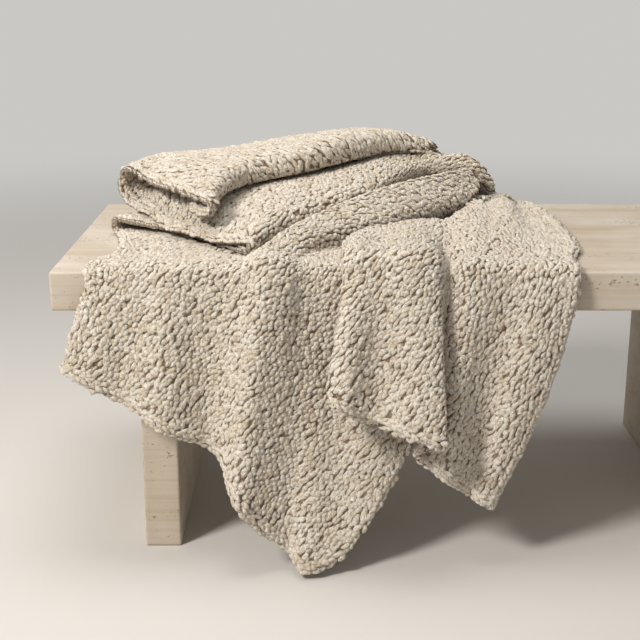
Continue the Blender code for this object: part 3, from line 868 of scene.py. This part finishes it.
class Tree:
    """Adds nodes to the node tree of a material or the world, and joins them."""

    def __init__(self, tree):
        self.nodes, self.links = tree.nodes, tree.links

    def feed(self, socket, value):
        """Gives a socket its value, or joins it to the socket that value is."""
        if isinstance(value, bpy.types.NodeSocket):
            self.links.new(value, socket)
        else:
            socket.default_value = value

    def add(self, kind, inputs=None, **settings):
        node = self.nodes.new("ShaderNode" + kind)
        for name, value in settings.items():
            setattr(node, name, value)
        for key, value in (inputs or {}).items():
            self.feed(node.inputs[key], value)
        return node

    def maths(self, operation, *values):
        return self.add("Math", dict(enumerate(values)), operation=operation).outputs[0]

    def noise(self, place, scale, detail, roughness=0.5):
        inputs = {"Vector": place, "Scale": scale, "Detail": detail, "Roughness": roughness}
        return self.add("TexNoise", inputs).outputs["Fac"]

    def scaled(self, place, scale, turned=(0, 0, 0)):
        inputs = {"Vector": place, "Scale": scale, "Rotation": turned}
        return self.add("Mapping", inputs).outputs[0]

    def coloured(self, value, colours):
        """The colour for a value, from a list of values and their colours."""
        node = self.add("ValToRGB", {0: value})
        elements = node.color_ramp.elements
        while len(elements) < len(colours):
            elements.new(0.5)
        for element, (at, colour) in zip(elements, colours):
            element.position = at
            element.color = (*colour, 1.0)
        return node.outputs[0]

    def tinted(self, first, second, share):
        """The first colour, with a share of the second one multiplied in."""
        inputs = {0: share, 6: first, 7: second}
        return self.add("Mix", inputs, data_type="RGBA", blend_type="MULTIPLY").outputs[2]

    def bumped(self, height, distance, strength, under=None):
        """A relief by height, over the relief under it."""
        inputs = {"Height": height, "Distance": distance, "Strength": strength}
        if under is not None:
            inputs["Normal"] = under
        return self.add("Bump", inputs).outputs["Normal"]


def new_material(name, **values):
    """A material, what adds nodes to it, and its shader with these values set."""
    made = bpy.data.materials.new(name)
    made.use_nodes = True
    shader = made.node_tree.nodes["Principled BSDF"]
    for key, value in values.items():
        shader.inputs[key.replace("_", " ")].default_value = value
    return made, Tree(made.node_tree), shader


def grain_height(tree, along, around):
    """0 under a grain, 1 along its top, less towards its ends; where it is low the wool gets
    painted shade.
    """
    flank = tree.maths("PINGPONG", around, 0.5)
    end = tree.maths("POWER", tree.maths("ABSOLUTE", along), 5.0)
    return tree.maths("MULTIPLY_ADD", end, -0.5, tree.maths("MULTIPLY", flank, 2.0))


def wool_material():
    """Oatmeal wool: each stitch has its own tone, with streaks of fibre along it, and painted shade
    low on its flanks and at its ends.
    """
    made, tree, shader = new_material(
        "wool", Roughness=0.92, Specular_IOR_Level=0.12, Sheen_Weight=0.35, Sheen_Roughness=0.6
    )
    place = tree.add("TexCoord").outputs["Object"]
    yarn = tree.add("Attribute", attribute_name="yarn").outputs["Vector"]
    along, around, tone = tree.add("SeparateXYZ", {0: yarn}).outputs
    fibres = tree.scaled(yarn, (1.6, 4.2, 60.0), turned=(0.0, 0.0, 0.12))
    streaks = tree.noise(fibres, scale=1.6, detail=3.0, roughness=0.6)
    patches = tree.noise(place, scale=34.0, detail=2.0)
    # Low on its flanks and at its ends a grain is deep between its neighbours; there its colour is
    # darkened with painted shade.
    depth = grain_height(tree, along, around)
    colour = tree.coloured(tone, WOOL_TONES)
    colour = tree.tinted(colour, tree.coloured(streaks, WOOL_STREAKS), share=0.9)
    colour = tree.tinted(colour, tree.coloured(patches, WOOL_PATCHES), share=0.35)
    # Painted shade low on each grain's flanks and at its ends.
    colour = tree.tinted(colour, tree.coloured(depth, WOOL_PAINTED_SHADE), share=0.8)
    tree.feed(shader.inputs["Base Color"], colour)
    lumps = tree.noise(place, scale=460.0, detail=2.0)
    fuzz = tree.noise(place, scale=1500.0, detail=3.0)
    relief = tree.bumped(streaks, distance=0.0028, strength=0.9)
    relief = tree.bumped(lumps, distance=0.0036, strength=0.85, under=relief)
    relief = tree.bumped(fuzz, distance=0.0012, strength=0.8, under=relief)
    tree.feed(shader.inputs["Normal"], relief)
    return made


def ground_wool_painted_shade_material():
    """The yarn seen in the gaps between the stitches, its colour darkened with painted shade."""
    made, tree, shader = new_material("wool in the gaps with painted shade", Roughness=1.0, Specular_IOR_Level=0.05)
    noise = tree.noise(tree.add("TexCoord").outputs["Object"], scale=300.0, detail=2.0)
    tree.feed(shader.inputs["Base Color"], tree.coloured(noise, GAP_PAINTED_SHADE))
    return made


def stone_material():
    """Honed travertine: cream, with faint layers along the slab and small pits."""
    made, tree, shader = new_material("travertine", Roughness=0.62, Specular_IOR_Level=0.3)
    place = tree.add("TexCoord").outputs["Object"]
    clouds = tree.noise(place, scale=7.0, detail=5.0, roughness=0.55)
    layers = tree.noise(tree.scaled(place, (1.0, 9.0, 42.0)), scale=2.2, detail=6.0, roughness=0.6)
    specks = tree.noise(tree.scaled(place, (0.6, 0.8, 1.0)), scale=260.0, detail=2.0, roughness=0.6)
    zones = tree.noise(tree.scaled(place, (1.0, 2.0, 5.0)), scale=9.0, detail=2.0)
    # Pits show where the specks and the zones are both high.
    pits = tree.coloured(tree.maths("MULTIPLY_ADD", zones, 0.45, specks), STONE_PITS)
    colour = tree.coloured(clouds, STONE_TONES)
    colour = tree.tinted(colour, tree.coloured(layers, STONE_LAYERS), share=0.55)
    colour = tree.tinted(colour, pits, share=0.85)
    tree.feed(shader.inputs["Base Color"], colour)
    relief = tree.add("Bevel", {"Radius": 0.0022}, samples=6).outputs["Normal"]
    relief = tree.bumped(specks, distance=0.0006, strength=0.25, under=relief)
    relief = tree.bumped(pits, distance=0.0010, strength=0.6, under=relief)
    tree.feed(shader.inputs["Normal"], relief)
    return made


# ---- the pieces ----
def mesh_object(name, points, faces, material, yarn=None):
    mesh = bpy.data.meshes.new(name)
    mesh.vertices.add(len(points))
    mesh.vertices.foreach_set("co", np.asarray(points, np.float32).ravel())
    corners = np.asarray(faces, np.int32)
    mesh.loops.add(corners.size)
    mesh.loops.foreach_set("vertex_index", corners.ravel())
    mesh.polygons.add(len(corners))
    starts = np.arange(len(corners), dtype=np.int32) * corners.shape[1]
    mesh.polygons.foreach_set("loop_start", starts)
    mesh.update(calc_edges=True)
    mesh.polygons.foreach_set("use_smooth", np.ones(len(corners), bool))
    if yarn is not None:
        layer = mesh.attributes.new("yarn", "FLOAT_VECTOR", "POINT")
        layer.data.foreach_set("vector", np.asarray(yarn, np.float32).ravel())
    mesh.materials.append(material)
    return add_object(name, mesh)


def finish_bench(nodes):
    """Gives the bench's own solids their stone."""
    stone = stone_material()
    for node in BENCH_NODES:
        slots = nodes[node].data.materials
        slots.clear()
        slots.append(stone)


def ground_piece(cloth):
    """The cloth itself, seen in the gaps between the stitches, in a colour darkened with painted
    shade.
    """
    base = mesh_object("blanket_ground", cloth.points, cloth.faces, ground_wool_painted_shade_material())
    thick = base.modifiers.new("cloth thickness", "SOLIDIFY")
    thick.thickness = GROUND_THICK
    thick.offset = 0.0
    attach(base, "root")
    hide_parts("blanket")
    return base


def knit_piece(name, grain_set, wool):
    points, triangles, yarn = grain_set
    piece = mesh_object(name, points, triangles, wool, yarn)
    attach(piece, "root")
    return piece


def side_pieces(label, grain_set, wool):
    """One side's grains, in pieces of no more than MOST_TRIANGLES."""
    points, triangles, yarn = grain_set
    most = MOST_TRIANGLES // GRAIN_TRIANGLES
    pieces = []
    for number, first in enumerate(range(0, len(points) // GRAIN_POINTS, most)):
        own = slice(first * GRAIN_POINTS, (first + most) * GRAIN_POINTS)
        own_triangles = triangles[first * GRAIN_TRIANGLES : (first + most) * GRAIN_TRIANGLES]
        part = points[own], own_triangles - own.start, yarn[own]
        pieces.append(knit_piece(f"knit_{label}_{number + 1}", part, wool))
    return pieces


# ---- the scene around them ----
CAMERA_PLACE = (0.0, -1.742, 0.892)
# Degrees below level, and the focal length in widths of the picture.
CAMERA_PITCH = 16.5
CAMERA_FOCAL = 1.8828125
SENSOR = 36.0
STUDIO_COLOUR = (0.80, 0.78, 0.75, 1.0)
STUDIO_STRENGTH = 0.38
BACKDROP_STRENGTH = 0.74
HORIZON_BAND = 0.16
FLOOR_COLOUR = (0.62, 0.60, 0.57, 1.0)
FLOOR_SIZE = 60.0
FADE_NEAR = 1.0
FADE_FAR = 4.2
# Each light's place, what it is aimed at, its size, power and colour.
LIGHTS = {
    "key": ((-1.90, -1.65, 2.30), (0.0, 0.1, 0.35), 0.7, 84, (1.0, 0.96, 0.90)),
    "overhead": ((-0.3, 0.2, 3.0), (0.0, 0.15, 0.4), 1.6, 35, (1.0, 0.99, 0.98)),
}


def add_camera(origin):
    data = bpy.data.cameras.new("camera")
    data.sensor_width = SENSOR
    data.lens = CAMERA_FOCAL * SENSOR
    camera = add_object("camera", data)
    camera.location = np.array(CAMERA_PLACE) + origin
    camera.rotation_euler = (np.radians(90 - CAMERA_PITCH), 0, 0)
    bpy.context.scene.camera = camera


def add_light(name, place, target, size, power, colour):
    data = bpy.data.lights.new(name, "AREA")
    data.shape = "DISK"
    data.size = size
    data.energy = power
    data.color = colour
    light = add_object(name, data)
    light.location = place
    aim = Vector(target) - Vector(place)
    light.rotation_euler = aim.to_track_quat("-Z", "Y").to_euler()


def floor_material():
    """A pale floor that fades into the studio's own light far from the object."""
    made, tree, shader = new_material("floor", Base_Color=FLOOR_COLOUR, Roughness=0.85)
    place = tree.add("TexCoord").outputs["Object"]
    reach = tree.add("VectorMath", {0: place}, operation="LENGTH").outputs["Value"]
    inputs = {"Value": reach, "From Min": FADE_NEAR, "From Max": FADE_FAR}
    fade = tree.add("MapRange", inputs, interpolation_type="SMOOTHSTEP").outputs[0]
    glow = tree.add("Emission", {"Color": STUDIO_COLOUR, "Strength": BACKDROP_STRENGTH})
    mix = tree.add("MixShader", {0: fade, 1: shader.outputs[0], 2: glow.outputs[0]})
    tree.feed(tree.nodes["Material Output"].inputs["Surface"], mix.outputs[0])
    return made


def add_floor():
    bpy.ops.mesh.primitive_plane_add(size=FLOOR_SIZE)
    floor = bpy.context.active_object
    floor.name = "floor"
    floor.data.materials.append(floor_material())


def add_studio():
    """The studio's own light: even all round, and stronger near the horizon."""
    world = bpy.data.worlds.new("studio")
    bpy.context.scene.world = world
    world.use_nodes = True
    tree = Tree(world.node_tree)
    direction = tree.add("TexCoord").outputs["Generated"]
    height = tree.maths("ABSOLUTE", tree.add("SeparateXYZ", {0: direction}).outputs["Z"])
    inputs = {"Value": height, "From Max": HORIZON_BAND}
    inputs |= {"To Min": BACKDROP_STRENGTH, "To Max": STUDIO_STRENGTH}
    strength = tree.add("MapRange", inputs, interpolation_type="SMOOTHSTEP").outputs[0]
    background = tree.nodes["Background"]
    tree.feed(background.inputs["Color"], STUDIO_COLOUR)
    tree.feed(background.inputs["Strength"], strength)


def main():
    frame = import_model()
    slab_low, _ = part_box("bench_top")
    origin = np.array((slab_low.x - BENCH_LEFT, slab_low.y, 0.0))
    finish_bench(frame["nodes"])
    cloth = Cloth(origin)
    random = np.random.default_rng(SEED)
    wool = wool_material()
    base = ground_piece(cloth)
    blockers = blocker_tree(cloth)
    pieces = side_pieces("outer", knit_side(cloth, 1, blockers, random), wool)
    pieces += side_pieces("inner", knit_side(cloth, -1, blockers, random), wool)
    pieces.append(knit_piece("knit_border", border_grains(cloth, random), wool))
    add_camera(origin)
    add_floor()
    add_studio()
    for name, values in LIGHTS.items():
        add_light(name, *values)
    bpy.context.scene.view_settings.view_transform = "Standard"


main()
